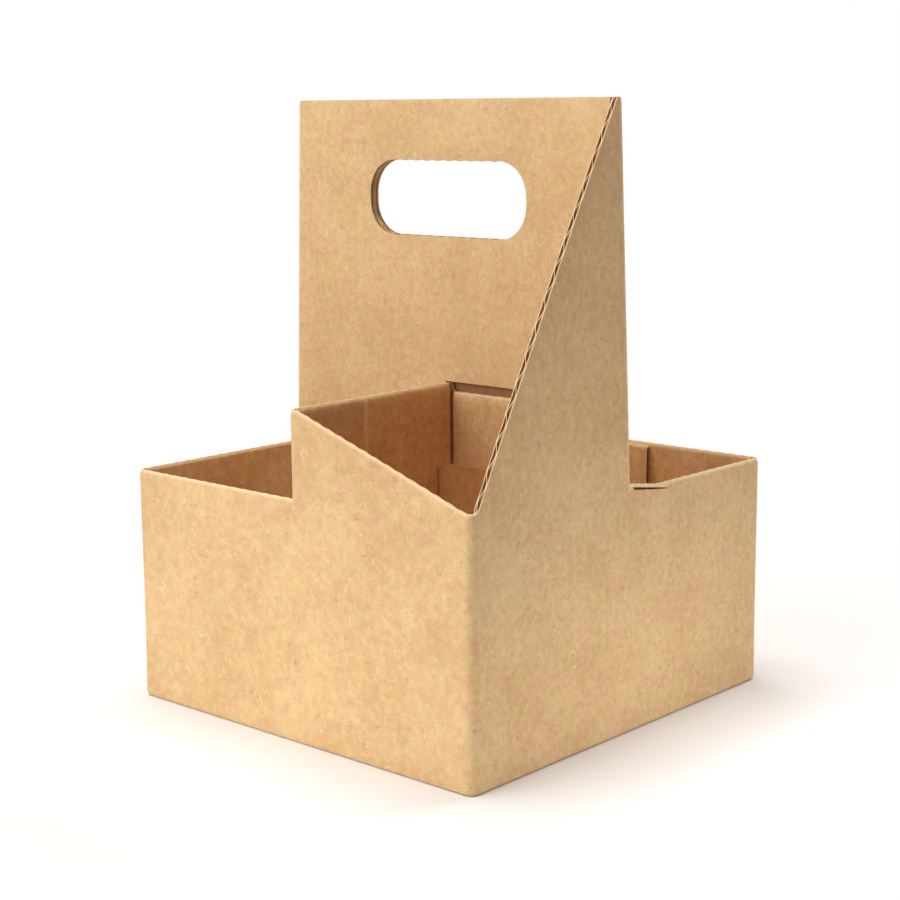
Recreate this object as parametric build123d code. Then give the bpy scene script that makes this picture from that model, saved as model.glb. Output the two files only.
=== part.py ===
from build123d import *
import os
from math import ceil, floor

# A carrier for four cups, folded and glued from one die-cut blank of corrugated board.
# X runs along the handle, Y from the front wall to the back wall, and Z is up.
# The origin is the centre of the underside. Every length is in millimetres.
# Turned half way round about Z, the carrier looks the same, apart from the lap that
# closes the blank and one nick: so one side of each form is made, and the other side is
# its turned copy.

# The board
board = 3.0               # thickness of the corrugated board
crease = 1.0              # radius inside a right-angle fold
cut_gap = 0.5             # gap that a knife cut or a loose fit leaves between two edges

# The fluted sheet between the board's two liners. Its flutes run up each wall.
flute_pitch = 6.5         # from one flute to the next
liner = 0.4
fluted_sheet = 0.4

# The tray and its walls
width = 200.0             # outside, along the handle
depth = 202.0             # outside, from front to back
low_height = 105.0        # walls where the cups are put in
corner_height = 112.0     # top of the corner that carries a gusset
peak_height = 142.5       # top of the rise in the middle of the front and back walls
bottom_radius = 2.5       # round of the fold along the bottom edges

# The handle
carrier_height = 267.0    # top edge of the handle
handle_lean = 6.5         # how far each side of the handle leans in at its top
gusset_head = 2.0         # where a gusset's slope ends, in front of the handle's middle
hole_length = 92.0        # hand hole
hole_height = 33.5
hole_radius = 15.0        # round of the hand hole's corners
hole_drop = 26.5          # board left between the hand hole and the top edge

# Glued flaps
divider_flap = 60.0       # flap that joins a divider to the handle
flap_drop = 4.0           # its top edge lies this far under the divider's
lap_length = 40.0         # lap that closes the blank, inside the back wall
lap_drop = 1.0            # its top edge lies this far under the wall's
seam_depth = 1.0          # grooves along the seams that show

# The nick beside the foot of the right gusset, where the knife ran on into the wall's edge
nick_length = 14.0
nick_depth = 1.2          # under the wall's edge
slit_length = 10.0        # the cut goes on under the edge for this length
slit_fall = 0.8           # and is this much lower at its end
slit_height = 0.9

# The bottom, four flaps in two layers
side_flap = 62.0          # how far the inner flaps reach in from the side walls
side_flap_taper = 24.0    # how much narrower their free edges are, at each end
tongue_reach = 26.0       # how far an outer flap's tongue passes the middle
tongue_slope = 14.0       # run of the tongue's slanted edge, to each side of the middle
seam_width = 0.8

bend = board + crease                     # radius outside a fold
half = board / 2                          # from a face of the board to its middle
front = half - depth / 2                  # middle of the front wall
right = width / 2 - half                  # middle of the right wall
front_end = width / 2 - bend              # where the front wall's flat part ends
side_end = depth / 2 - bend               # where a side wall's flat part ends


def slab_y(points, y_from, y_to):
    """A flat shape drawn by its (x, z) points, between two depths."""
    face = Plane.XZ * Polygon(*points, align=None)
    return Pos(0, y_from, 0) * extrude(face, y_to - y_from, dir=(0, 1, 0))


def slab_x(points, x_from, x_to):
    """A flat shape drawn by its (y, z) points, between two places along the handle."""
    face = Plane.YZ * Polygon(*points, align=None)
    return Pos(x_from, 0, 0) * extrude(face, x_to - x_from, dir=(1, 0, 0))


def block(x, y, z):
    """A box between the two values that each direction is given."""
    size = (x[1] - x[0], y[1] - y[0], z[1] - z[0])
    return Pos(x[0], y[0], z[0]) * Box(*size, align=Align.MIN)


def folded(points, z_from, z_to, lean=0.0):
    """Board that stands on the line through the points, with a round fold at each."""
    line = FilletPolyline(*points, radius=bend - half)
    section = Sketch() + trace(line.edges(), line_width=board)
    rise = z_to - z_from
    length = Vector(lean, 0, rise).length
    return Pos(0, 0, z_from) * extrude(section, length, dir=(-lean, 0, rise))


def turned(shape):
    """The shape's copy, turned half way round about Z."""
    return Rot(0, 0, 180) * shape


def both_sides(shape):
    """The shape and its turned copy."""
    return shape + turned(shape)


def tray():
    """The four walls up to their low edge, with the bottom between them."""
    outside = RectangleRounded(width, depth, bend)
    inside = RectangleRounded(width - 2 * board, depth - 2 * board, crease)
    shell = extrude(outside, low_height)
    shell = fillet(shell.faces().sort_by(Axis.Z)[0].edges(), bottom_radius)
    return shell - Pos(0, 0, board) * extrude(inside, low_height)


def side_bottom_flap():
    """The right wall's bottom flap: a trapezoid that lies on the outer flaps."""
    root = depth / 2 - board - cut_gap
    tip = root - side_flap_taper
    x_root = width / 2 - board
    x_tip = x_root - side_flap
    shape = Polygon((x_root, -root), (x_root, root), (x_tip, tip), (x_tip, -tip), align=None)
    return Pos(0, 0, board) * extrude(shape, board)


def bottom_seam():
    """The groove where the outer flaps' tongues pass each other, above and below."""
    side = width / 2 - board
    line = Polyline((-side, tongue_reach), (-tongue_slope, tongue_reach),
                    (tongue_slope, -tongue_reach), (side, -tongue_reach))
    section = Sketch() + trace(line.edges(), line_width=seam_width)
    groove = extrude(section, seam_depth)
    return groove + Pos(0, 0, board - seam_depth) * groove


def divider():
    """The right half of the front wall above its low edge, folded in at the middle of
    the wall to make a divider, and folded again to make the flap glued to the handle."""
    points = ((divider_flap, -half), (half, -half), (half, front), (front_end, front))
    shape = folded(points, low_height, peak_height)
    slope = ((bend, peak_height), (front_end, corner_height), (width, corner_height),
             (width, carrier_height), (bend, carrier_height))
    shape -= slab_y(slope, -depth, -side_end)
    over_flap = (peak_height - flap_drop, carrier_height)
    return shape - block((board, width), (-board, board), over_flap)


def corner():
    """The board between the divider and the leaning gusset, level with the corner's top."""
    points = ((front_end - bend, front), (right, front), (right, half), (cut_gap, half))
    return folded(points, low_height, corner_height)


def gusset():
    """The right gusset, and the half of the handle's thickness that is folded from it."""
    points = ((right, -side_end), (right, half), (-right, half))
    shape = folded(points, corner_height, carrier_height, handle_lean)
    slope = ((-side_end, corner_height), (-gusset_head, carrier_height),
             (-gusset_head, 2 * carrier_height), (-depth, 2 * carrier_height), (-depth, corner_height))
    shape -= slab_x(slope, front_end - handle_lean - board, width)
    end = cut_gap + board - width / 2
    far_end = ((end, corner_height), (end + handle_lean, carrier_height),
               (-width, carrier_height), (-width, corner_height))
    shape -= slab_y(far_end, -depth, depth)
    return shape - block((-width, cut_gap), (-depth, depth), (0, peak_height + cut_gap))


def hand_hole():
    """The hole through both thicknesses of the handle."""
    middle = carrier_height - hole_drop - hole_height / 2
    face = Plane.XZ * Pos(0, middle) * RectangleRounded(hole_length, hole_height, hole_radius)
    return Pos(0, -bend, 0) * extrude(face, 2 * bend, dir=(0, 1, 0))


def closing_lap():
    """The end of the blank, glued inside the back wall with its first 3 mm sloped in."""
    wall = depth / 2 - board
    section = Polygon((-board, wall), (0, wall - board), (lap_length, wall - board),
                      (lap_length, wall), align=None)
    return Pos(0, 0, board) * extrude(section, low_height - lap_drop - board)


def lap_seam():
    """The groove outside the back wall where the other end of the blank stops."""
    x = (-seam_width / 2, seam_width / 2)
    return block(x, (depth / 2 - seam_depth, depth), (0, low_height))


def nick():
    """The nick in the outer half of the wall's thickness, and the slit that goes on from
    it, as one outline."""
    start = board + cut_gap
    side = start + nick_length
    end = side + slit_length
    base = low_height - nick_depth
    points = ((start, low_height + board), (start, base), (side, base), (end, base - slit_fall),
              (end, base - slit_fall + slit_height), (side, base + slit_height / 2),
              (side, low_height + board))
    return slab_x(points, width / 2 - half, width)


def channels(run, middle, z_from, z_to, along=Axis.X, lean=0.0):
    """The air channels in a straight run of board, as a list of prisms. Each has its flat
    side against a liner, the inner and the outer one by turns, and the fluted sheet is
    what is left between them. Their places are whole half pitches from the middle plane."""
    top = half - liner
    foot = (flute_pitch - fluted_sheet) / 2
    step = flute_pitch / 2
    section = Sketch()
    for count in range(ceil((run[0] + foot) / step), floor((run[1] - foot) / step) + 1):
        side = 1 if count % 2 else -1
        corners = ((-foot, side * top), (foot, side * top), (0, side * (fluted_sheet - top)))
        section += Pos(count * step, 0) * Polygon(*corners, align=None)
    if along == Axis.X:
        section = Pos(0, middle) * section
    else:
        section = Pos(middle, 0) * Rot(0, 0, 90) * section
    rise = z_to - z_from
    prisms = extrude(section, Vector(lean, 0, rise).length, dir=(-lean, 0, rise))
    return (Pos(0, 0, z_from) * prisms).solids()


def turned_channels():
    """The channels that the half turn copies. Folds are crushed flat and have none."""
    foot = bend + crease
    below = low_height - board
    ply_end = front_end - handle_lean
    before, after = (-side_end, -bend), (bend, side_end)
    prisms = channels((-front_end, -cut_gap), front, foot, low_height)
    prisms += channels((bend, front_end), front, foot, peak_height)
    prisms += channels(before, right, foot, corner_height, Axis.Y)
    prisms += channels(after, right, foot, low_height, Axis.Y)
    prisms += channels(before, right, corner_height, carrier_height, Axis.Y, handle_lean)
    prisms += channels(before, half, below, peak_height, Axis.Y)
    prisms += channels((bend, divider_flap), -half, below, peak_height - flap_drop)
    prisms += channels((bend, ply_end), half, below, carrier_height)
    prisms += channels((-ply_end, -bend), half, peak_height, carrier_height)
    return prisms


def all_channels():
    """Those, their turned copies, and the channels of the lap."""
    prisms = turned_channels()
    lap_middle = depth / 2 - board - half
    lap = channels((cut_gap, lap_length), lap_middle, bend + crease, low_height)
    return prisms + [turned(prism) for prism in prisms] + lap


carrier = tray() + both_sides(side_bottom_flap()) + closing_lap()
carrier += both_sides(divider() + corner() + gusset())
carrier = carrier.cut(*all_channels())
carrier -= bottom_seam() + lap_seam() + hand_hole() + nick()

os.makedirs("parts", exist_ok=True)
export_step(carrier, "parts/cup_carrier.step")
print("solids", len(carrier.solids()), "volume", round(carrier.volume), "valid", carrier.is_valid)
print("box", carrier.bounding_box())
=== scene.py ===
import bpy
import numpy as np
from mathutils import Matrix


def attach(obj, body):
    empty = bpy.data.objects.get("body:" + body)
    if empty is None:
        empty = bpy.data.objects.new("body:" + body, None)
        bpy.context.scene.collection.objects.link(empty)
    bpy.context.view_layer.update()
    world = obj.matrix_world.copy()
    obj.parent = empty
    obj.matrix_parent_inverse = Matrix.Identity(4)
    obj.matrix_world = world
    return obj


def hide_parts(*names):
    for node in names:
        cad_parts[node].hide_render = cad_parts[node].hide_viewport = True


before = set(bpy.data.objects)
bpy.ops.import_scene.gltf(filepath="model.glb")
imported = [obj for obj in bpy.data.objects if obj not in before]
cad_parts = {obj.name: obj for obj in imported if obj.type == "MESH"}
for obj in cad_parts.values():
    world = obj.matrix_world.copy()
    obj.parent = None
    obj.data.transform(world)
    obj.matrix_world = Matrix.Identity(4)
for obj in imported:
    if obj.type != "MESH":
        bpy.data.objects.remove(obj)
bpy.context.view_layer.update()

# The carrier is one die-cut blank of single-wall corrugated board, folded and glued.
# Lengths are in millimetres until they go into a mesh, which is in metres.
# X runs along the handle, Y from the front wall to the back wall, and Z is up.
MM = 0.001

# The board: two flat liners with a fluted sheet between them
BOARD = 3.0
HALF = BOARD / 2
LINER = 0.36
MEDIUM = 0.3              # thickness of the fluted sheet
PITCH = 6.5               # from one flute to the next
FOLD = 2.5                # radius of an upright fold, to the middle of the board
BASE_FOLD = 1.6           # and of the folds along the bottom
RIPPLE_OUT = 0.05         # how far the outside liner sinks between two flutes
RIPPLE_IN = 0.09
EDGE_DIP = 0.3            # and how far its cut edges sink between two flutes
WAVE_BITE = 0.02          # how far the waves reach into the liners
FLUTE_END = 2.2           # run in which the flutes rise to their height beside a fold

# The tray and its walls
WIDTH, DEPTH = 200.0, 202.0
LOW, CORNER, PEAK, TOP = 105.0, 112.0, 142.5, 267.0
FRONT = DEPTH / 2 - HALF              # the wall's middle plane, from the middle of the tray
SIDE = WIDTH / 2 - HALF
FRONT_END = SIDE - FOLD               # where a front or back wall's flat part ends
SIDE_END = FRONT - FOLD
BASE_START = FRONT - BASE_FOLD        # where the bottom starts, inside a front or back wall
FOOT = HALF + BASE_FOLD               # height of the start of the fold along the bottom

# A cut edge is pinched by the die: the board is thinner there
EDGE = 1.8                            # height of the pinched strip
EDGE_ROW = 0.45 * EDGE                # a row of points inside it, this far under the edge
WALL_PINCH = 0.6                      # share of the thickness that a wall's edge loses
SLOPE_PINCH = 0.12                    # what a gusset's slope loses
HANDLE_PINCH = 0.2                    # and what the edges of the handle and its hole lose
CREASE = 0.85                         # what the inside liner alone loses in an upright fold
BASE_CREASE = 0.5                     # and in a fold along the bottom

# The handle
LEAN = 6.5                            # of each end, at the handle's top
LEAN_START = 50.0                     # the handle stands upright to here from its middle
GUSSET_HEAD = 2.0
HOLE_HALF, HOLE_RISE, HOLE_RADIUS = 46.0, 16.75, 15.0
HOLE_MIDDLE = 223.75
GAP = 0.5                             # left by a knife cut or a loose fit
SEAM = 0.8                            # width of the seam in the back wall

# Flaps
DIVIDER_FLAP, FLAP_DROP = 60.0, 4.0
DIVIDER_FOOT = 0.35                   # the divider starts this far above the low edge
LAP, LAP_DROP = 40.0, 1.0
LAP_FOOT = 0.9                        # the lap starts this far above the wall's bottom fold
SIDE_FLAP, FLAP_TAPER = 62.0, 24.0
TONGUE_REACH, TONGUE_SLOPE = 26.0, 14.0
OUTER_FLAP_END = 88.5                 # half the length of the outer bottom flaps
CLIMB = 7.0                           # run in which a side flap climbs onto them
SCORE = -58.0                         # a shallow score across the divider
SCORE_WIDTH, SCORE_DEPTH = 1.2, 0.6
# Rows of a bottom flap, as shares of its length, from its free edge to its fold
LEVEL_ROWS = (1, 0.66, 0.33)
CLIMBING_ROWS = (1, 0.7, 0.4, 0.12, 0.09, 0.06, 0.03)

# Beside the right gusset's foot the wall's edge is lifted, and a slit runs down from it:
# where the lift is highest and ends, and where the slit starts and ends, along the wall
LIFT_TOP, LIFT_END = 0.6, 21.5
SLIT_START, SLIT_END = 3.5, 27.5
SLIT_FADE = SLIT_END + 3.5            # where the rows beside the slit are level again
LIFT = 3.3                            # how far the edge is lifted, at most
# Rows above and below the slit: how many rows under the edge, and how far each is moved up
# at the slit's start and at its end
SLIT_ROWS = ((1, 2.3, -1.7), (2, 2.0, -1.1))

# The walls bow in by this much and waver a little. It sets in this far from the tray's
# middle and grows over this run, and over this height from the bottom.
BOW, WAVER = 0.35, 0.25
BOW_START, BOW_RUN, BOW_RISE = 85.0, 10.0, 30.0

# How far the paper is made pale: on a side wall's edges, partly wear and partly a painted
# highlight, and rubbed pale in the handle's folds and along the divider's score
EDGE_WEAR_AND_HIGHLIGHT, FOLD_RUB, SCORE_RUB = 0.8, 0.35, 0.75
PAINTED_SHADE_FADE = 6.0                      # run in which the painted shade beside a divider's flap ends


def steps(liner):
    """Distance between columns: a sixth of a flute for a liner, a twelfth for the waves.
    The waves have fewer rows in return."""
    return PITCH / (6 if liner else 12)


def smooth(t):
    """3t^2 - 2t^3 between 0 and 1, and flat outside."""
    t = np.clip(t, 0, 1)
    return t * t * (3 - 2 * t)


def places(breaks, step):
    """Values from each break to the next, in equal steps of about the given length."""
    parts = []
    for a, b in zip(breaks[:-1], breaks[1:]):
        parts.append(np.linspace(a, b, max(1, round(abs(b - a) / step)) + 1)[:-1])
    return np.append(np.concatenate(parts), breaks[-1])


def stacked(*values):
    """Arrays that broadcast to one shape, as the x, y and z of one array."""
    return np.stack(np.broadcast_arrays(*values), -1)


def panel(place, normal, along, flutes=1.0, pinch=0.0, crease=0.0, wear_and_painted_light=0.0, keep=True):
    """A grid on the middle plane of the board. place and normal are (columns, rows, 3),
    along is the length across the flutes, and flutes is 1 where they stand and 0 where a
    fold has crushed them. pinch is the share of the thickness that both liners lose, and
    crease what the inside one loses more. The value for wear and painted light is how far
    the paper's face is made pale, by wear or by a painted highlight on an edge, beyond what
    its pinch gives, or below 0 how dark painted shade makes it. keep says which cells are
    board."""
    shape = place.shape[:2]
    values = {"along": along, "flutes": flutes, "pinch": pinch, "crease": crease, "wear_and_painted_light": wear_and_painted_light}
    values = {name: np.broadcast_to(a, shape).astype(float) for name, a in values.items()}
    keep = np.broadcast_to(keep, (shape[0] - 1, shape[1] - 1))
    return {"place": place, "normal": np.broadcast_to(normal, place.shape), "keep": keep, **values}


def turned(p):
    """The panel's copy, turned half way round about Z."""
    turn = np.array([-1.0, -1.0, 1.0])
    return {**p, "place": p["place"] * turn, "normal": p["normal"] * turn}


def upper_levels(hole_low, hole_high, liner):
    """Heights of the handle's rows, from the low edge to the top, where the hand hole's
    edge is at the two given heights. Two rows follow each edge closely, for its pinch."""
    levels = (LOW, PEAK + GAP, hole_low - EDGE, hole_low, hole_high, hole_high + EDGE,
              TOP - EDGE, TOP - EDGE_ROW, TOP)
    counts = (1, 3, 1, 1, 1, 3, 1, 1) if liner else (1,) * 8
    rows = [a + (b - a) * k / n for a, b, n in zip(levels, levels[1:], counts) for k in range(n)]
    return np.stack(np.broadcast_arrays(*rows, TOP), -1), counts


def upper_rows(top, liner):
    """Heights of the rows above the low edge, on a panel with these tops. They are the
    handle's rows, brought down in proportion, so that panels which meet share them."""
    side = HOLE_RISE - HOLE_RADIUS
    levels, _ = upper_levels(HOLE_MIDDLE - side, HOLE_MIDDLE + side, liner)
    share = (levels[:-2] - LOW) / (TOP - EDGE - LOW)
    top = np.asarray(top, float)[..., None]
    return np.concatenate([LOW + (top - EDGE - LOW) * share, top - EDGE_ROW, top], -1)


def low_rows():
    """Heights of a wall's rows from its bottom fold to the low edge."""
    return np.append(np.linspace(FOOT, LOW - EDGE, 4), (LOW - EDGE_ROW, LOW))


def pinched(z, top):
    """1 on a top edge, falling to 0 at EDGE under it."""
    return smooth(1 - (top - z) / EDGE)


def squared(angle):
    """How far the outside of a bottom fold stands out at this angle, as a share of half the
    board's thickness. It follows a superellipse, c^4 + s^4 = 1, in place of a circle."""
    radius = (np.cos(angle) ** 4 + np.sin(angle) ** 4) ** -0.25
    return (radius - 1) * (HALF + BASE_FOLD) / HALF


def in_fold(square):
    """What the inside liner loses in a bottom fold that is squared this far."""
    return square + BASE_CREASE * (square > 0.01)


def bottom_rows(flap_length, climb, liner):
    """Distance in from the wall's plane, height, and the two parts of the normal, for the
    rows of a bottom flap and of the fold that joins it to its wall. The fold is a quarter
    circle, and a flap that climbs follows a smooth step of one board's thickness. The last
    value is how far the fold's outside is squared."""
    shares = np.array(CLIMBING_ROWS if climb else LEVEL_ROWS)
    t = flap_length[:, None] * shares
    rise = BOARD if climb else 0.0
    z = HALF + rise * smooth(t / CLIMB)
    slope = rise * (smooth((t + 0.05) / CLIMB) - smooth((t - 0.05) / CLIMB)) / 0.1
    size = np.hypot(1, slope)
    angle = np.radians(np.linspace(90, 0, 5 if liner else 4))[:-1]
    one = np.ones((len(flap_length), 1))
    inward = np.hstack([BASE_FOLD + t, one * BASE_FOLD * (1 - np.cos(angle))])
    height = np.hstack([z, one * (FOOT - BASE_FOLD * np.sin(angle))])
    normal_in = np.hstack([slope / size, -one * np.cos(angle)])
    normal_up = np.hstack([-1 / size, -one * np.sin(angle)])
    flutes = np.hstack([smooth(t / 2.0), one * np.zeros(len(angle))])
    return inward, height, normal_in, normal_up, flutes, len(shares), squared(angle)


def wall(u, top, flap_length, climb, liner):
    """A wall with its bottom fold and flap, in its own measures: u along it, the distance
    in from its plane, and the height. rows tells where the flap, the fold and the flat
    rows end, and how far the fold is squared."""
    inward, height, n_in, n_up, flutes, flap_rows, square = bottom_rows(flap_length, climb, liner)
    flat = low_rows()
    up = upper_rows(top, liner)[:, 1:]
    size = (len(u), len(flat) + up.shape[1])
    rows = {"flap": flap_rows, "fold": height.shape[1], "low": height.shape[1] + len(flat) - 1,
            "square": square}
    inward = np.hstack([inward, np.zeros(size)])
    height = np.hstack([height, np.tile(flat, (len(u), 1)), up])
    n_in, n_up = np.hstack([n_in, -np.ones(size)]), np.hstack([n_up, np.zeros(size)])
    return inward, height, n_in, n_up, np.hstack([flutes, np.ones(size)]), rows


def raised(height, flutes, rows, u, top, end, start, side, strength):
    """A wall's flutes, pinch and crease. The flutes are crushed by the folds at both ends.
    The wall is low where side * (u - start) < 0, and rises to its tops past start, where
    its upper part has a fold."""
    past = side * (u - start)
    flutes = flutes * (smooth((u + end) / FLUTE_END) * smooth((end - u) / FLUTE_END))[:, None]
    flutes[:, rows["low"] + 1:] *= smooth(past / FLUTE_END)[:, None]
    edge = strength * pinched(height, top[:, None]) * (past > -0.01)[:, None]
    low_edge = WALL_PINCH * pinched(height, LOW) * smooth(-past / FOLD)[:, None]
    edge[:, :rows["low"] + 1] = np.maximum(edge, low_edge)[:, :rows["low"] + 1]
    crease = 0 * edge
    fold = slice(rows["flap"], rows["fold"])
    edge[:, fold] -= rows["square"]
    crease[:, fold] = in_fold(rows["square"])
    return flutes, edge, crease


def front_wall(liner, seam):
    """The front wall. Its low half is at X < 0 and its rise at X > 0, falling in a straight
    line to the corner. With seam, it is the back wall before its half turn: then its low
    half is the blank's outer end, which starts at the cut."""
    start, cut = HALF + FOLD, -SEAM
    breaks = [-FRONT_END, -OUTER_FLAP_END, -TONGUE_SLOPE] + ([cut] if seam else [])
    u = places(breaks + [start, TONGUE_SLOPE, OUTER_FLAP_END, FRONT_END], steps(liner))
    top = PEAK + (CORNER - PEAK) * np.clip((u - start) / (FRONT_END - start), 0, 1)
    reach = TONGUE_REACH * np.clip(-u / TONGUE_SLOPE, -1, 1) - GAP / 2
    inward, height, n_in, n_up, flutes, rows = wall(u, top, BASE_START + reach, False, liner)
    flutes, edge, crease = raised(height, flutes, rows, u, top, FRONT_END, start, 1, WALL_PINCH)
    middle = (u[1:] + u[:-1]) / 2
    keep = np.ones((len(u) - 1, height.shape[1] - 1), bool)
    keep[np.abs(middle) > OUTER_FLAP_END, :rows["flap"]] = False
    keep[middle < start, rows["low"]:] = False
    if seam:
        keep[(middle > cut) & (middle < start), rows["fold"]:] = False
    place = stacked(u[:, None], -FRONT + inward, height)
    return panel(place, stacked(0.0, n_in, n_up), u[:, None], flutes, edge, crease, keep=keep)


def closing_lap(liner):
    """The end of the blank that goes inside the back wall, before its half turn: it steps
    in by one board's thickness on a smooth curve, and runs on flat to its free edge."""
    start = HALF + FOLD
    u = np.append(np.linspace(start, -GAP, 12)[:-1], places((-GAP, -LAP), steps(liner)))
    t = (start - u) / (start + GAP)
    step_in = BOARD * smooth(t)
    slope = BOARD * (smooth(t + 0.005) - smooth(t - 0.005)) / 0.01 / (start + GAP)
    size = np.hypot(1, slope)
    share = (low_rows() - FOOT) / (LOW - FOOT)
    foot, head = FOOT + LAP_FOOT * smooth(t), LOW - LAP_DROP * smooth(t)
    z = foot[:, None] + (head - foot)[:, None] * share
    # Most of the flutes' height is crushed where the lap bends in
    flutes = 1 - 0.8 * np.exp(-((u - 1.8) / 1.6) ** 2)
    edge = WALL_PINCH * pinched(z, head[:, None]) * smooth(t)[:, None]
    place = stacked(u[:, None], (-FRONT + step_in)[:, None], z)
    normal = stacked((-slope / size)[:, None], (-1 / size)[:, None], 0 * z)
    return panel(place, normal, u[:, None], flutes[:, None], edge)


def side_wall(liner, torn=False, slit=False):
    """The right wall. The gusset stands on its front half, with a straight slope up to the
    handle's top. Its back half is low. If torn, its edge is lifted beside the gusset's
    foot, and with slit the cut under the lifted strip is open."""
    start, taper = HALF - FOLD, SIDE_END - FLAP_TAPER
    marks = (LIFT_TOP, SLIT_START, LIFT_END, SLIT_END, SLIT_FADE) if torn else ()
    u = places((-SIDE_END, -taper, -GUSSET_HEAD, start, *marks, taper, SIDE_END), steps(liner))
    top = CORNER + (TOP - CORNER) * np.clip((u + SIDE_END) / (SIDE_END - GUSSET_HEAD), 0, 1)
    length = (SIDE_FLAP - BASE_FOLD) * np.clip((SIDE_END - np.abs(u)) / FLAP_TAPER, 0, 1)
    inward, height, n_in, n_up, flutes, rows = wall(u, top, length, True, liner)
    flutes, edge, crease = raised(height, flutes, rows, u, top, SIDE_END, start, -1, SLOPE_PINCH)
    middle, low = (u[1:] + u[:-1]) / 2, rows["low"]
    keep = np.ones((len(u) - 1, height.shape[1] - 1), bool)
    keep[middle > start, low:] = False
    if torn:
        height[:, low] += np.interp(u, (start, LIFT_TOP, LIFT_END), (0, LIFT, 0))
        for under, first, last in SLIT_ROWS:
            height[:, low - under] += np.interp(u, (start, SLIT_START, SLIT_END, SLIT_FADE),
                                                (0, first, last, 0))
        keep[(middle > SLIT_START) & (middle < SLIT_END), low - 2] = not slit
    place = stacked(SIDE - inward, u[:, None], height)
    # The slope's pinched edge is made pale: partly wear, partly a painted highlight
    pale_wear_and_highlight = EDGE_WEAR_AND_HIGHLIGHT * np.clip(edge / SLOPE_PINCH, 0, 1)
    return panel(place, stacked(-n_in, 0.0, n_up), u[:, None], flutes, edge, crease, pale_wear_and_highlight, keep)


def corner_fold(centre, turn, height, liner):
    """The upright fold between two walls: a quarter circle in plan, whose lower end turns
    in on the radius of the folds along the bottom, and is closed by a quarter disc."""
    angle = np.radians(turn + np.linspace(0, 90, 9 if liner else 7))
    down = np.radians(np.linspace(90, 0, 5 if liner else 4))[:-1]
    z = np.concatenate([[HALF], FOOT - BASE_FOLD * np.sin(down), low_rows()])
    flat = np.ones(len(low_rows()))
    radius = np.concatenate([[0.0], FOLD - BASE_FOLD * (1 - np.cos(down)), flat * FOLD])
    out = np.concatenate([[0.0], np.cos(down), flat])
    up = np.concatenate([[-1.0], -np.sin(down), flat * 0])
    if height > LOW:
        rows = upper_rows(height, liner)[1:]
        z = np.append(z, rows)
        radius, out, up = (np.append(a, np.full(len(rows), b))
                           for a, b in ((radius, FOLD), (out, 1.0), (up, 0.0)))
    x, y = np.cos(angle)[:, None], np.sin(angle)[:, None]
    place = stacked(centre[0] + radius * x, centre[1] + radius * y, z)
    groove = CREASE * out * np.array([0] + [1] * (len(angle) - 2) + [0])[:, None]
    square = np.zeros(len(z))
    square[1:1 + len(down)] = squared(down)
    groove = np.maximum(groove, in_fold(square))
    pinch = WALL_PINCH * pinched(z, height) - square
    return panel(place, stacked(out * x, out * y, up), 0.0, 0.0, pinch, groove)


def bent_path(points, step):
    """Points, normals, standing flutes and grooves along straight runs, with a quarter
    circle at each corner between them. The normal is to the left of the way it goes."""
    points = [np.array(p, float) for p in points]
    at, normal, flutes, groove, here = [], [], [], [], points[0]
    for index in range(1, len(points)):
        way = points[index] - points[index - 1]
        way = way / np.hypot(*way)
        left = np.array((-way[1], way[0]))
        last = index == len(points) - 1
        stop = points[index] if last else points[index] - way * FOLD
        size = np.hypot(*(stop - here))
        if size > 0.01:
            t = np.linspace(0, 1, max(1, round(size / step)) + 1)
            at.append(here + (stop - here) * t[:, None])
            normal.append(np.tile(left, (len(t), 1)))
            standing = smooth(t * size / FLUTE_END)
            if not last:
                standing = standing * smooth((1 - t) * size / FLUTE_END)
            flutes.append(standing)
            groove.append(0 * t)
        if not last:
            after = points[index + 1] - points[index]
            after = after / np.hypot(*after)
            centre = stop + after * FOLD
            angle = np.radians(np.linspace(0, 90, 9))[(1 if at else 0):-1, None]
            out = way * np.sin(angle) - after * np.cos(angle)
            at.append(centre + out * FOLD)
            normal.append(out * -np.sign(left @ after))
            flutes.append(np.zeros(len(angle)))
            groove.append(CREASE * (angle[:, 0] > 0))
            here = centre + way * FOLD
    return [np.concatenate(a) for a in (at, normal, flutes, groove)]


def divider(liner):
    """The divider that the rise is folded into at X = 0, and the flap glued to the handle.
    The first column is the rise's own edge. A shallow score, rubbed pale, crosses the
    divider, and the groove of the fold at the handle is darkened with painted shade."""
    points = ((HALF + FOLD, -FRONT), (HALF, -FRONT), (HALF, -HALF), (DIVIDER_FLAP, -HALF))
    at, normal, flutes, groove = bent_path(points, steps(liner))
    along = np.concatenate([[0.0], np.cumsum(np.hypot(*np.diff(at, axis=0).T))])
    far_half = along > DEPTH / 4
    over_flap = smooth((at[:, 0] - HALF - 0.6) / 1.8) * far_half
    head = PEAK - FLAP_DROP * over_flap
    rows = upper_rows(head, liner)
    foot = DIVIDER_FOOT * smooth(along / 3.0)[:, None]
    z = rows + foot * (1 - (rows - LOW) / (head[:, None] - LOW))
    score = np.exp(-((at[:, 1] - SCORE) / SCORE_WIDTH) ** 2)
    at = at - normal * SCORE_DEPTH * score[:, None]
    place = stacked(at[:, :1], at[:, 1:], z)
    normal = stacked(normal[:, :1], normal[:, 1:], 0 * z)
    pinch = WALL_PINCH * pinched(z, head[:, None])
    # The score is rubbed pale; the groove of the fold at the handle gets painted shade
    wear_and_painted_light = SCORE_RUB * score - (groove > 0) * far_half
    return panel(place, normal, along[:, None], flutes[:, None], pinch, groove[:, None],
                 wear_and_painted_light[:, None])


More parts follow.
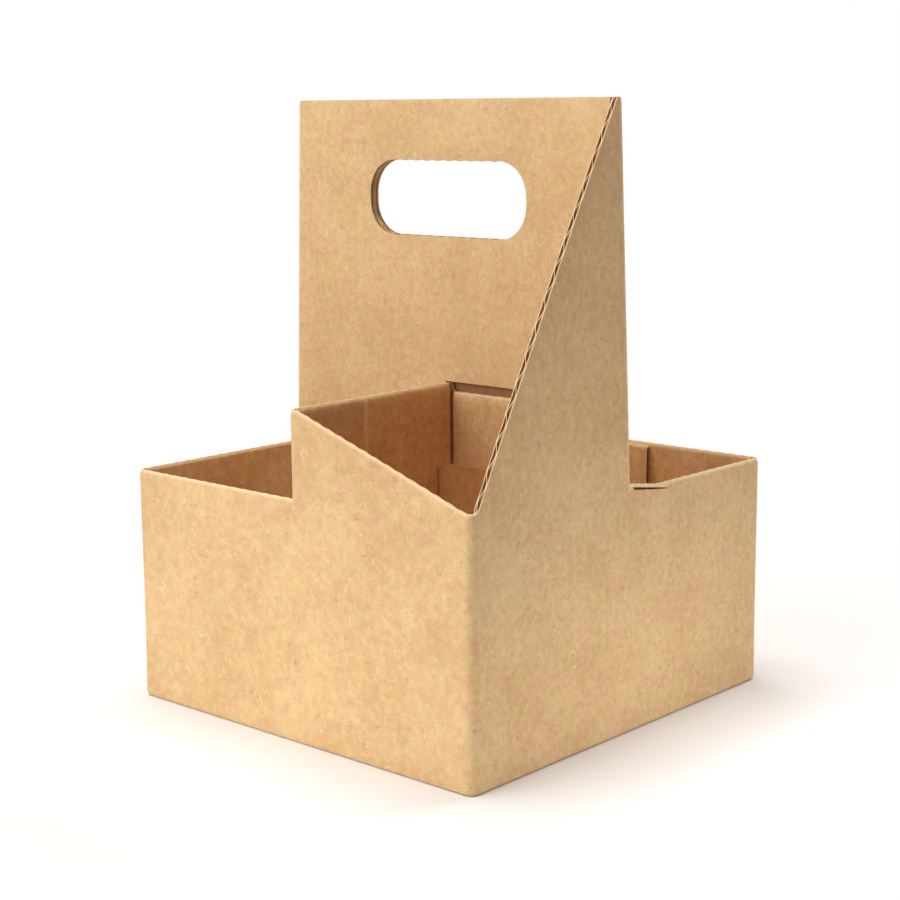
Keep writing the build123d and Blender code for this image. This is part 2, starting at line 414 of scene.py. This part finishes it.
def handle_ply(liner):
    """The half of the handle's thickness that is folded from the right gusset. The hand
    hole's edge is a circle's arc at each corner: columns there stand at equal angles. The
    far half hangs above the other side's divider. The strip that shows between that half's
    copy and the divider's flap is darkened with painted shade, the shadow under that edge."""
    round_from, side = HOLE_HALF - HOLE_RADIUS, HOLE_RISE - HOLE_RADIUS
    arc = round_from + HOLE_RADIUS * np.sin(np.radians(np.linspace(0, 90, 15)))
    near, far = FRONT_END, GAP + BOARD - WIDTH / 2
    angle = np.radians(np.linspace(0, 90, 9))
    flat = [places((near, HOLE_HALF + EDGE, HOLE_HALF), steps(liner))[1:-1], arc[::-1],
            places((round_from, GAP, -round_from), steps(liner))[1:-1], -arc,
            places((-HOLE_HALF, -HOLE_HALF - EDGE, far), steps(liner))[1:]]
    flat = np.concatenate(flat)
    x = np.append(near + FOLD * np.cos(angle), flat)
    y = np.append(HALF - FOLD + FOLD * np.sin(angle), np.full(len(flat), HALF))
    n_x = np.append(np.cos(angle), np.zeros(len(flat)))
    n_y = np.append(np.sin(angle), np.ones(len(flat)))
    inside = np.clip(np.abs(x), round_from, HOLE_HALF) - round_from
    rise = side + np.sqrt(HOLE_RADIUS ** 2 - inside ** 2)
    z, counts = upper_levels(HOLE_MIDDLE - rise, HOLE_MIDDLE + rise, liner)
    middle = (x[1:] + x[:-1]) / 2
    keep = np.ones((len(x) - 1, z.shape[1] - 1), bool)
    keep[middle < GAP, :counts[0]] = False
    keep[np.abs(middle) < HOLE_HALF, sum(counts[:3]):sum(counts[:4])] = False
    across = np.maximum(np.abs(x) - round_from, 0)[:, None]
    upward = np.maximum(np.abs(z - HOLE_MIDDLE) - side, 0)
    rim = smooth(1 - (np.hypot(across, upward) - HOLE_RADIUS) / EDGE)
    place = stacked(x[:, None], y[:, None], z)
    pinch = HANDLE_PINCH * np.maximum(pinched(z, TOP), rim)
    index = np.arange(len(x))
    groove = CREASE * ((index > 0) & (index < len(angle) - 1))
    wear_and_painted_light = FOLD_RUB * (groove > 0)[:, None] * np.ones(z.shape[1])
    # Painted shade on the row above the divider's flap, the shadow under the other ply's edge,
    # fading out at the flap's end
    wear_and_painted_light[:, counts[0]] -= (x > GAP) * smooth((DIVIDER_FLAP - x) / PAINTED_SHADE_FADE)
    flutes = smooth((near - x) / FLUTE_END)
    return panel(place, stacked(n_x[:, None], n_y[:, None], 0 * z), x[:, None],
                 flutes[:, None], pinch, groove[:, None], wear_and_painted_light, keep)


def blank(liner, slit):
    """All the panels of the folded blank, on the middle plane of its board, for a liner or
    for the waves, and with the slit open or closed."""
    front_right = corner_fold((FRONT_END, -SIDE_END), -90, CORNER, liner)
    back_right = corner_fold((FRONT_END, SIDE_END), 0, LOW, liner)
    both = [front_right, back_right, divider(liner), handle_ply(liner)]
    sides = [side_wall(liner, True, slit), turned(side_wall(liner))]
    back = [turned(front_wall(liner, True)), turned(closing_lap(liner))]
    return both + [turned(p) for p in both] + sides + [front_wall(liner, False)] + back


def settled(co):
    """Points of the flat-sided blank, moved to where the used board stands: the gussets
    and the handle's ends lean in above the corner, and the panels bow in a little."""
    x, y, z = co.T
    lean = LEAN * np.maximum(z - CORNER, 0) / (TOP - CORNER)
    lean = lean * np.clip((np.abs(x) - LEAN_START) / (FRONT_END - LEAN_START), 0, 1)
    x = x - np.sign(x) * lean
    side = smooth((np.abs(x) - BOW_START) / BOW_RUN) * smooth(z / BOW_RISE)
    end = smooth((np.abs(y) - BOW_START) / BOW_RUN) * smooth(z / BOW_RISE)
    x = x - np.sign(x) * side * (BOW + WAVER * np.sin(y / 31.0 + z / 70.0))
    y = y - np.sign(y) * end * (BOW + WAVER * np.sin(x / 27.0 - z / 60.0 + 1.0))
    return np.stack([x, y, z], 1)


def welded(panels):
    """One surface from all panels: points that coincide are made one, cells that have
    shrunk to a line are left out, and those with one short side become triangles."""
    data = {}
    for name in ("place", "normal"):
        data[name] = np.concatenate([p[name].reshape(-1, 3) for p in panels])
    for name in ("along", "flutes", "pinch", "crease", "wear_and_painted_light"):
        data[name] = np.concatenate([p[name].ravel() for p in panels])
    place, quads, start = data["place"], [], 0
    for p in panels:
        columns, rows = p["place"].shape[:2]
        index = start + np.arange(columns * rows).reshape(columns, rows)
        cells = (index[:-1, :-1], index[1:, :-1], index[1:, 1:], index[:-1, 1:])
        cells = np.stack(cells, -1)[p["keep"]]
        a, b, c = (place[cells[:, k]] for k in (0, 1, 3))
        normal = data["normal"][cells[:, 0]]
        facing = np.einsum("ij,ij->i", np.cross(b - a, c - a), normal).sum()
        quads.append(cells if facing > 0 else cells[:, ::-1])
        start += columns * rows
    _, first, same = np.unique(np.round(place, 3), axis=0, return_index=True,
                               return_inverse=True)
    used, quads = np.unique(same.ravel()[np.concatenate(quads)], return_inverse=True)
    quads = quads.reshape(-1, 4)
    data = {name: value[first[used]] for name, value in data.items()}
    equal = quads == np.roll(quads, -1, axis=1)
    short = equal.sum(1) == 1
    shift = (np.arange(4) + np.argmax(equal[short], axis=1)[:, None] + 1) % 4
    data["three"] = np.take_along_axis(quads[short], shift, 1)[:, :3]
    data["four"] = quads[equal.sum(1) == 0]
    return data


def one_sheet(surface, below, above, dip=0.0):
    """A sheet of paper between two distances from the board's middle plane, as points,
    faces, which faces are cut edges, and how pale or dark each point is painted: pale from
    wear or a painted highlight on a pinched edge, dark from painted shade. Its rims close
    every free edge. dip lowers the free edges of standing board between two flutes."""
    place, normal, four, three = (surface[name] for name in ("place", "normal", "four", "three"))
    count = len(place)
    edges = [np.stack([f, np.roll(f, -1, 1)], -1).reshape(-1, 2) for f in (four, three)]
    edges = np.concatenate(edges)
    _, where, times = np.unique(np.sort(edges, 1), axis=0, return_index=True,
                                return_counts=True)
    free = edges[where[times == 1]]
    rims = np.stack([free[:, 1], free[:, 0], free[:, 0] + count, free[:, 1] + count], 1)
    phase = 2 * np.pi * surface["along"] / PITCH
    drop = np.zeros((count, 3))
    drop[np.unique(free), 2] = dip
    upright = np.abs(normal[:, 2]) < 0.5
    drop[:, 2] *= surface["flutes"] * (0.5 + 0.5 * np.cos(phase)) * upright
    co = [place - drop + normal * side(phase, surface)[:, None] for side in (above, below)]
    faces = four.tolist() + three.tolist() + (four[:, ::-1] + count).tolist()
    faces += (three[:, ::-1] + count).tolist() + rims.tolist()
    is_rim = np.zeros(len(faces), int)
    is_rim[-len(rims):] = 1
    wear_and_painted_light = surface["wear_and_painted_light"]
    # Painted shade, below 0, is kept; elsewhere a pinched edge is made pale, partly as wear and
    # partly as a painted highlight
    wear_and_painted_light = np.where(wear_and_painted_light < 0, wear_and_painted_light, np.maximum(surface["pinch"] / WALL_PINCH, wear_and_painted_light))
    return settled(np.concatenate(co)), faces, is_rim, np.tile(wear_and_painted_light, 2)


def made(name, sheet, materials):
    """A Blender object from one sheet, with its cut edges in the second material."""
    co, faces, is_rim, wear_and_painted_light = sheet
    mesh = bpy.data.meshes.new(name)
    mesh.from_pydata(co * MM, [], faces)
    for material in materials:
        mesh.materials.append(material)
    mesh.polygons.foreach_set("material_index", is_rim)
    mesh.shade_smooth()
    mesh.set_sharp_from_angle(angle=np.radians(38))
    mesh.attributes.new("wear_and_painted_light", "FLOAT", "POINT").data.foreach_set("value", wear_and_painted_light)
    mesh.update()
    thing = bpy.data.objects.new(name, mesh)
    bpy.context.scene.collection.objects.link(thing)
    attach(thing, "root")
    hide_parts("cup_carrier")


# Materials

def paint(code):
    """An sRGB hex colour as linear red, green, blue and 1."""
    value = np.array([int(code[i:i + 2], 16) for i in (1, 3, 5)]) / 255
    linear = np.where(value <= 0.04045, value / 12.92, ((value + 0.055) / 1.055) ** 2.4)
    return (*linear.tolist(), 1.0)


def add(tree, kind, sockets=None, **settings):
    """A node of that kind with its settings, and its sockets set or linked."""
    node = tree.nodes.new(kind)
    for name, value in settings.items():
        setattr(node, name, value)
    for name, value in (sockets or {}).items():
        if isinstance(value, bpy.types.NodeSocket):
            tree.links.new(value, node.inputs[name])
        else:
            node.inputs[name].default_value = value
    return node


def summed(tree, *terms):
    """The sum of values, each times its weight."""
    total = 0.0
    for value, weight in terms:
        total = add(tree, "ShaderNodeMath", {0: value, 1: weight, 2: total},
                    operation="MULTIPLY_ADD").outputs[0]
    return total


def ramp(tree, value, low, high, bottom=0.0, top=1.0):
    """The value, eased from bottom to top while it goes from low to high."""
    sockets = {"Value": value, "From Min": low, "From Max": high, "To Min": bottom, "To Max": top}
    return add(tree, "ShaderNodeMapRange", sockets, interpolation_type="SMOOTHSTEP").outputs[0]


def tinted(tree, share, colour, other):
    """The colour, mixed with the other one by the share."""
    sockets = {0: share, 6: colour, 7: other}
    return add(tree, "ShaderNodeMix", sockets, data_type="RGBA").outputs[2]


def kraft(name, light, dark, rough, streaks=0.0, painted_shade=0.0):
    """Unbleached kraft paper: pulp in soft clouds of 3 mm, in slightly different hues, with
    fine grain, pale and dark fibres and a few brown specks. streaks is how much shows of
    the glue lines that run up the board, one to a flute. The last argument is how dark
    painted shade makes the paper where the value for wear and painted light is below 0."""
    material = bpy.data.materials.new(name)
    material.use_nodes = True
    tree = material.node_tree
    tree.nodes.clear()
    at = add(tree, "ShaderNodeTexCoord").outputs["Object"]

    def noise(size, detail=1.0, place=at, distortion=0.0):
        """Noise with features of about this size in millimetres, from 0 to 1."""
        sockets = {"Vector": place, "Scale": 1 / (size * MM), "Detail": detail,
                   "Distortion": distortion}
        return add(tree, "ShaderNodeTexNoise", sockets).outputs["Fac"]

    grain = noise(0.8, 2.0)
    upright = add(tree, "ShaderNodeVectorMath", {0: at, 1: (1, 1, 0.05)},
                  operation="MULTIPLY").outputs[0]
    pulp = summed(tree, (noise(3.2, 2.0), 0.55), (noise(30.0, 2.0), 0.45), (grain, 0.25),
                  (noise(2.6, 1.0, upright), streaks))
    middle = 0.625 + streaks / 2
    share = ramp(tree, pulp, middle - 0.24, middle + 0.24)
    colour = tinted(tree, share, paint(dark), paint(light))
    hue = ramp(tree, noise(7.0, 2.0), 0.3, 0.7, 0.492, 0.508)
    colour = add(tree, "ShaderNodeHueSaturation", {"Hue": hue, "Color": colour}).outputs[0]
    for size, shift, fibre in ((4.5, 0.0, "#F6DDB4"), (3.6, 40.0, "#9C7445")):
        moved = add(tree, "ShaderNodeVectorMath", {0: at, 1: (shift,) * 3},
                    operation="ADD").outputs[0]
        off = summed(tree, (noise(size, 1.0, moved, 0.8), 1.0), (1.0, -0.5))
        off = add(tree, "ShaderNodeMath", {0: off}, operation="ABSOLUTE").outputs[0]
        line = ramp(tree, off, 0.004, 0.016, 1.0, 0.0)
        here = ramp(tree, noise(size * 1.3, 0.0, moved), 0.54, 0.62, 0.0, 0.42)
        here = add(tree, "ShaderNodeMath", {0: line, 1: here}, operation="MULTIPLY").outputs[0]
        colour = tinted(tree, here, colour, paint(fibre))
    cell = add(tree, "ShaderNodeTexVoronoi", {"Vector": at, "Scale": 1 / (3.0 * MM)})
    rare = add(tree, "ShaderNodeSeparateColor", {0: cell.outputs["Color"]}).outputs[0]
    rare = ramp(tree, rare, 0.90, 0.97, 0.0, 0.55)
    dot = ramp(tree, cell.outputs["Distance"], 0.05, 0.17, 1.0, 0.0)
    speck = add(tree, "ShaderNodeMath", {0: dot, 1: rare}, operation="MULTIPLY").outputs[0]
    colour = tinted(tree, speck, colour, paint("#6E4C2C"))
    wear_and_painted_light = add(tree, "ShaderNodeAttribute", attribute_name="wear_and_painted_light").outputs["Fac"]
    # Above 0 the paper is made pale: wear in folds and along the score, and on pinched edges
    # partly a painted highlight
    pale_wear_and_highlight = summed(tree, (ramp(tree, wear_and_painted_light, 0.0, 1.0), 0.7), (noise(4.0, 2.0), 0.7), (1.0, -0.35))
    pale_wear_and_highlight = add(tree, "ShaderNodeMath", {0: pale_wear_and_highlight, 1: wear_and_painted_light}, operation="MULTIPLY",
                 use_clamp=True)
    colour = tinted(tree, pale_wear_and_highlight.outputs[0], colour, paint("#FFE2B6"))
    # Painted shade: below 0 the paper is darkened towards a deep brown, in creases and recesses
    colour = tinted(tree, ramp(tree, wear_and_painted_light, -0.9, -0.2, painted_shade, 0.0), colour, paint("#7A3F14"))
    bump = add(tree, "ShaderNodeBump", {"Height": grain, "Strength": 0.5, "Distance": 0.00006})
    shader = add(tree, "ShaderNodeBsdfPrincipled", {"Base Color": colour, "Roughness": rough,
                                                    "Normal": bump.outputs[0], "IOR": 1.5})
    add(tree, "ShaderNodeOutputMaterial", {"Surface": shader.outputs[0]})
    return material


# Pale, slightly yellow liner on the outside: it gives the walls their even light brown.
outside = kraft("kraft liner outside", "#E2C08E", "#CFA876", 0.85)
# The inside liner has the glue lines of the flutes, as faint upright streaks, and it
# takes the painted shade in the divider's fold and above the divider's flap.
inside = kraft("kraft liner inside", "#DCB484", "#C69A68", 0.88, 0.15, 0.6)
# Recycled paper of the waves, a darker brown in the open edges.
medium = kraft("fluted medium", "#C79D69", "#A37D4A", 0.92)
# Torn and cut fibres are paler than the paper's face: the light line along each edge.
cut = kraft("cut edge of board", "#E4C598", "#CFAA7C", 0.92)


# The three sheets of the board

def liner_face(side, depth, ripple=0.0):
    """A liner's face, this deep in the board. side is 1 outside and -1 inside. It sinks a
    little between the flutes that hold it."""
    return lambda phase, s: side * (
        HALF * (1 - s["pinch"] - (side < 0) * s["crease"]) - depth
        - ripple * s["flutes"] * (0.5 - side * 0.5 * np.cos(phase)))


def wave_face(offset):
    """A cosine wave that reaches both liners, flat where a fold has crushed it."""
    return lambda phase, s: offset + s["flutes"] * np.cos(phase) * (
        HALF * (1 - s["pinch"]) - LINER - MEDIUM / 2 + WAVE_BITE)


made("liner_outside", one_sheet(welded(blank(liner=True, slit=True)), liner_face(1, LINER),
                                liner_face(1, 0, RIPPLE_OUT)), (outside, cut))
made("liner_inside", one_sheet(welded(blank(liner=True, slit=False)),
                               liner_face(-1, 0, RIPPLE_IN), liner_face(-1, LINER),
                               dip=EDGE_DIP), (inside, cut))
made("fluted_sheet", one_sheet(welded(blank(liner=False, slit=True)), wave_face(-MEDIUM / 2),
                               wave_face(MEDIUM / 2)), (medium, cut))

# Floor, light and camera

def backdrop_ray(tree):
    """1 for the rays that show the backdrop: from the camera, mirrored, or through glass."""
    ray = add(tree, "ShaderNodeLightPath").outputs
    kinds = ("Camera", "Glossy", "Transmission")
    total = summed(tree, *((ray[f"Is {kind} Ray"], 1.0) for kind in kinds))
    return add(tree, "ShaderNodeMath", {0: total, 1: 1.0}, operation="MINIMUM").outputs[0]


FLOOR = 6.0                  # half of its side, in metres
floor_mesh = bpy.data.meshes.new("floor")
floor_corners = [(x * FLOOR, y * FLOOR, 0) for x, y in ((-1, -1), (1, -1), (1, 1), (-1, 1))]
floor_mesh.from_pydata(floor_corners, [], [(0, 1, 2, 3)])
floor = bpy.data.objects.new("floor", floor_mesh)
bpy.context.scene.collection.objects.link(floor)
plain = bpy.data.materials.new("plain pale floor")
plain.use_nodes = True
tree = plain.node_tree
tree.nodes.clear()
# Near the carrier the floor is matt and takes its shadow. Further off it fades, to the eye
# alone, into the white of the backdrop, so that no horizon shows.
shown = backdrop_ray(tree)
at = add(tree, "ShaderNodeTexCoord").outputs["Object"]
far = add(tree, "ShaderNodeVectorMath", {0: at}, operation="LENGTH").outputs["Value"]
fade = add(tree, "ShaderNodeMapRange", {"Value": far, "From Min": 0.2, "From Max": 0.44},
           interpolation_type="SMOOTHSTEP")
share = add(tree, "ShaderNodeMath", {0: fade.outputs[0], 1: shown}, operation="MULTIPLY")
pale = tinted(tree, shown, paint("#DEDEDC"), paint("#F2F2F1"))
near = add(tree, "ShaderNodeBsdfDiffuse", {"Color": pale})
white = add(tree, "ShaderNodeEmission", {"Color": (1, 1, 1, 1), "Strength": 1.0})
mixed = add(tree, "ShaderNodeMixShader", {0: share.outputs[0], 1: near.outputs[0],
                                          2: white.outputs[0]})
add(tree, "ShaderNodeOutputMaterial", {"Surface": mixed.outputs[0]})
floor_mesh.materials.append(plain)

world = bpy.data.worlds.new("studio")
bpy.context.scene.world = world
world.use_nodes = True
tree = world.node_tree
tree.nodes.clear()
white = add(tree, "ShaderNodeBackground", {"Color": (1, 1, 1, 1), "Strength": 1.0})
dim = add(tree, "ShaderNodeBackground", {"Color": (1.0, 0.96, 0.97, 1), "Strength": 0.18})
mixed = add(tree, "ShaderNodeMixShader", {0: backdrop_ray(tree), 1: dim.outputs[0],
                                          2: white.outputs[0]})
add(tree, "ShaderNodeOutputWorld", {"Surface": mixed.outputs[0]})


def standing(place, right, up, back):
    """The matrix of a thing at that place, whose own X, Y and Z point these three ways."""
    turn = Matrix([[*row] for row in np.stack([right, up, back], 1)]).to_4x4()
    return Matrix.Translation(place) @ turn


def lamp(name, place, target, size, watts, colour):
    """An area lamp of this width and height that points from its place at the target."""
    light = bpy.data.lights.new(name, "AREA")
    light.shape, light.energy, light.color = "RECTANGLE", watts, colour
    light.size, light.size_y = size
    thing = bpy.data.objects.new(name, light)
    bpy.context.scene.collection.objects.link(thing)
    back = np.array(place, float) - np.array(target, float)
    back /= np.linalg.norm(back)
    right = np.cross((0, 0, 1), back)
    right /= np.linalg.norm(right)
    thing.matrix_world = standing(place, right, np.cross(back, right), back)
    thing.visible_camera = False


lamp("key", (-0.38, -1.05, 1.15), (0, 0, 0.12), (1.2, 1.2), 6.6, (1.0, 0.97, 0.94))
lamp("front", (-0.3, -1.35, 0.55), (0, 0, 0.12), (0.9, 0.9), 7.5, (1.0, 0.97, 0.95))
lamp("top", (-0.25, 0.0, 1.5), (0, 0, 0.1), (1.0, 1.0), 16.8, (1.0, 0.97, 0.95))
lamp("back", (0.3, 1.2, 0.8), (0, 0, 0.12), (0.9, 0.9), 9, (1.0, 0.97, 0.95))
# Two low strips stand for light that a bright floor throws onto the near walls
lamp("bounce right", (0.22, 0.0, 0.016), (0.1, 0.0, 0.02), (0.22, 0.02), 0.079, (1.0, 0.98, 1.0))
lamp("bounce front", (0.0, -0.22, 0.016), (0.0, -0.1, 0.02), (0.22, 0.02), 0.047, (1.0, 1.0, 1.0))

# The photo's camera, fitted to the carrier's corners
CAMERA_AT = (0.545365, -0.608129, 0.263218)
FOCAL, PICTURE = 1838.494, 900        # focal length and the picture's width, in pixels
SENSOR = 36.0                         # its width in millimetres
azimuth, elevation, roll = np.radians((41.932, 10.550, -0.465))
back = np.array([np.sin(azimuth) * np.cos(elevation), -np.cos(azimuth) * np.cos(elevation),
                 np.sin(elevation)])
right = np.array([np.cos(azimuth), np.sin(azimuth), 0.0])
up = np.cross(back, right)
across = right * np.cos(roll) + up * np.sin(roll)
upright = up * np.cos(roll) - right * np.sin(roll)
camera_data = bpy.data.cameras.new("camera")
camera_data.sensor_width, camera_data.lens = SENSOR, SENSOR * FOCAL / PICTURE
camera_data.clip_start, camera_data.clip_end = 0.05, 30
camera = bpy.data.objects.new("camera", camera_data)
bpy.context.scene.collection.objects.link(camera)
camera.matrix_world = standing(CAMERA_AT, across, upright, back)
bpy.context.scene.camera = camera
bpy.context.scene.view_settings.view_transform = "Standard"
